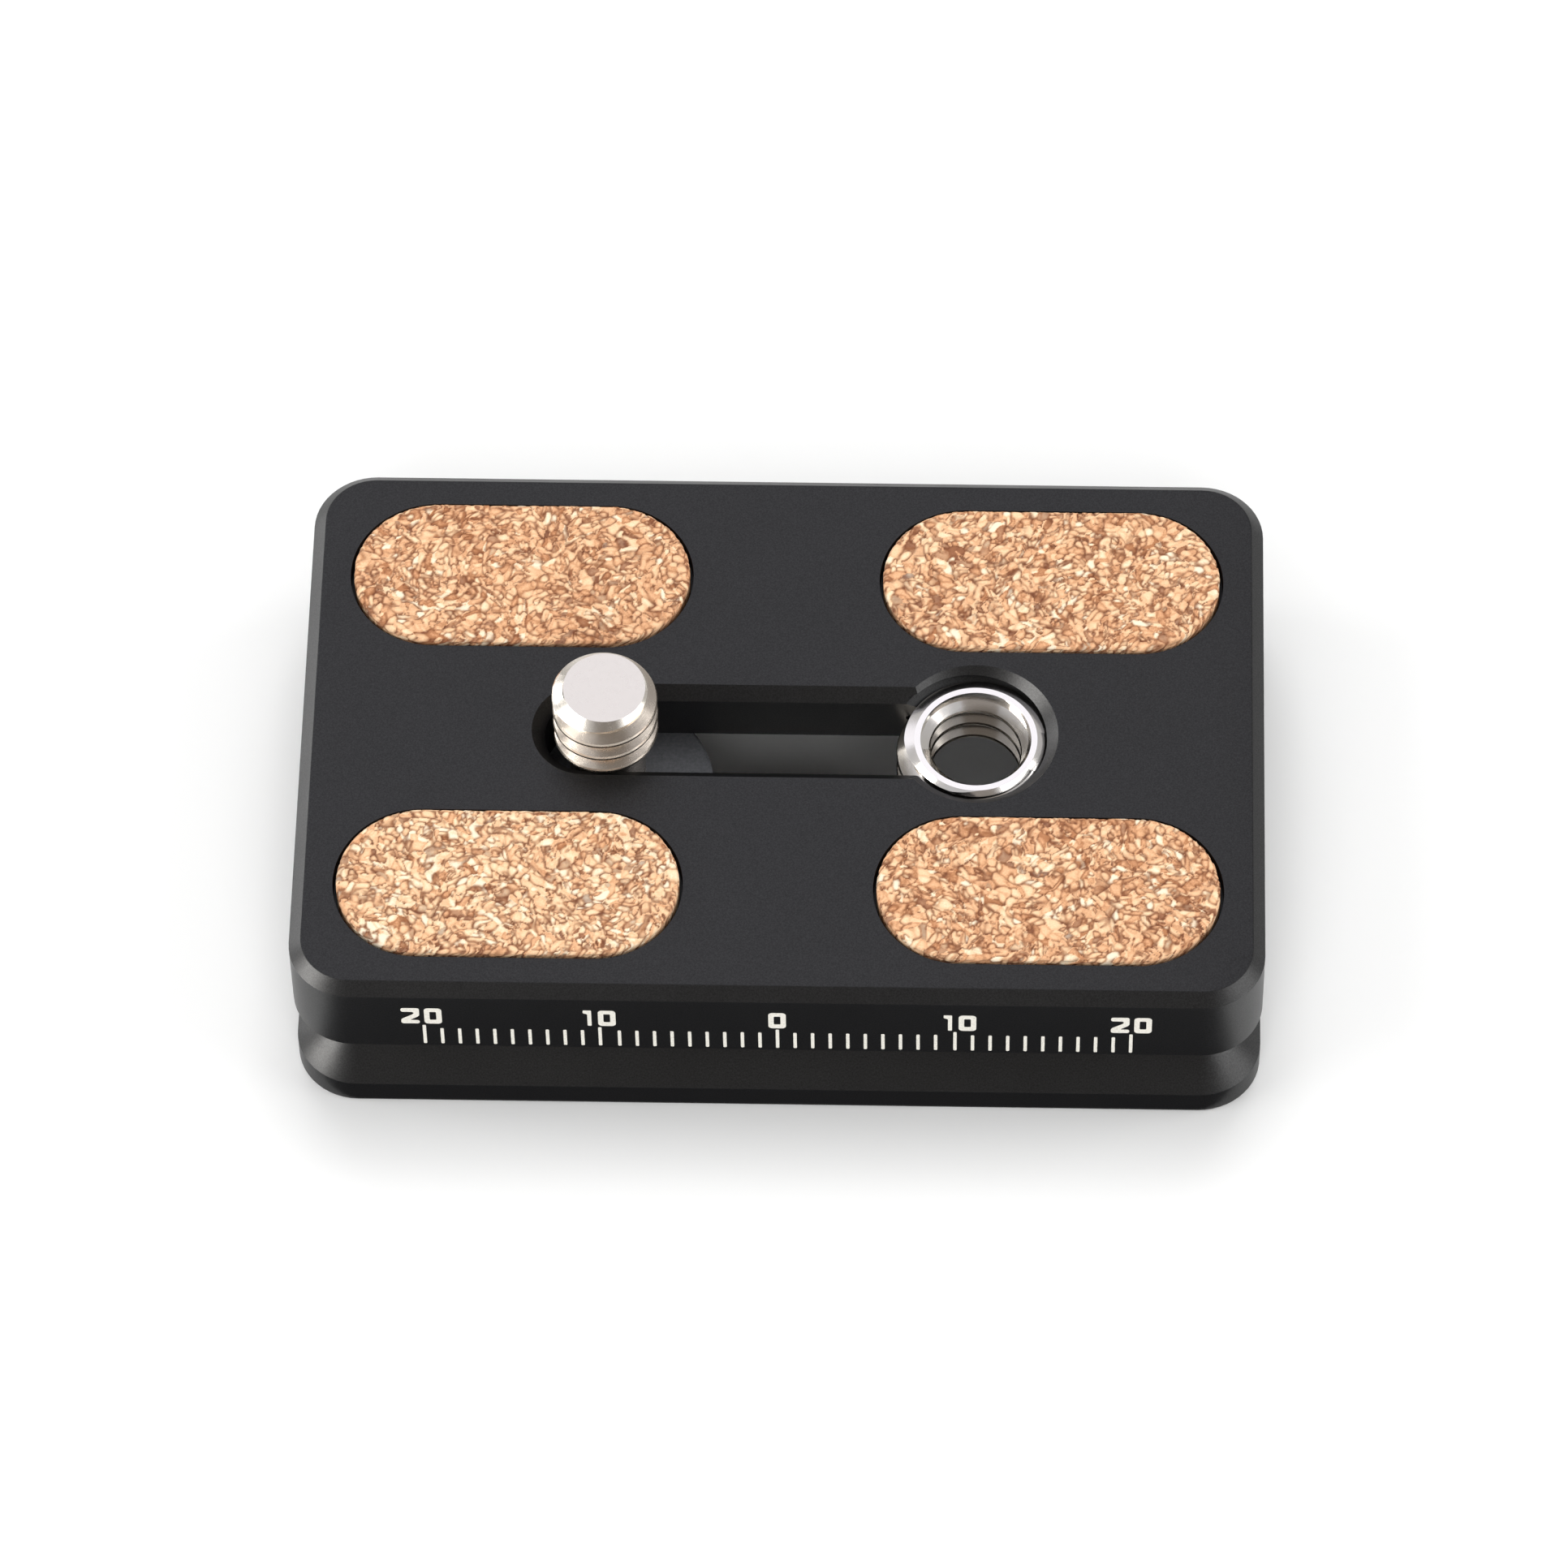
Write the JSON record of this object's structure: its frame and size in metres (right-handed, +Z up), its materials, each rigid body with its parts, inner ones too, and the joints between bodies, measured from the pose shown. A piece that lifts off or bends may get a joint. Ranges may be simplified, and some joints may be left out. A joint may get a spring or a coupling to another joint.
{
  "type": "quick release plate",
  "caption": "Camera quick release plate with an all-round dovetail, cork pads, a sliding captive camera screw and a reducer bushing in a tapped hole.",
  "frame": {"origin": "middle of the plate's underside", "axes": "+X along the plate's long side, +Y away from the side that carries the scale, +Z up, out of the face that the camera sits on"},
  "size_m": [0.0556, 0.036, 0.0161],
  "materials": {
    "black_anodised": "fine bead-blasted black anodised",
    "cork": "pressed cork granules",
    "stainless_steel": "turned, bright",
    "nickel_plate": "bright nickel",
    "grey_nylon": "matte"
  },
  "bodies": {
    "plate": {"plate_body": "black_anodised", "cork_pad_rear_left": "cork", "cork_pad_rear_right": "cork", "cork_pad_front_left": "cork", "cork_pad_front_right": "cork", "reducer_bushing": "nickel_plate"},
    "washer": {"screw_washer": "grey_nylon"},
    "screw": {"camera_screw": "stainless_steel"}
  },
  "joints": [
    {"name": "screw_slide", "type": "slide", "parent": "plate", "child": "washer", "axis": [1, 0, 0], "range_m": [-0.0011, 0.0143]},
    {"name": "screw_turn", "type": "hinge", "parent": "washer", "child": "screw", "pos_m": [-0.01015, 0, 0.0057], "axis": [0, 0, 1], "continuous": true}
  ]
}
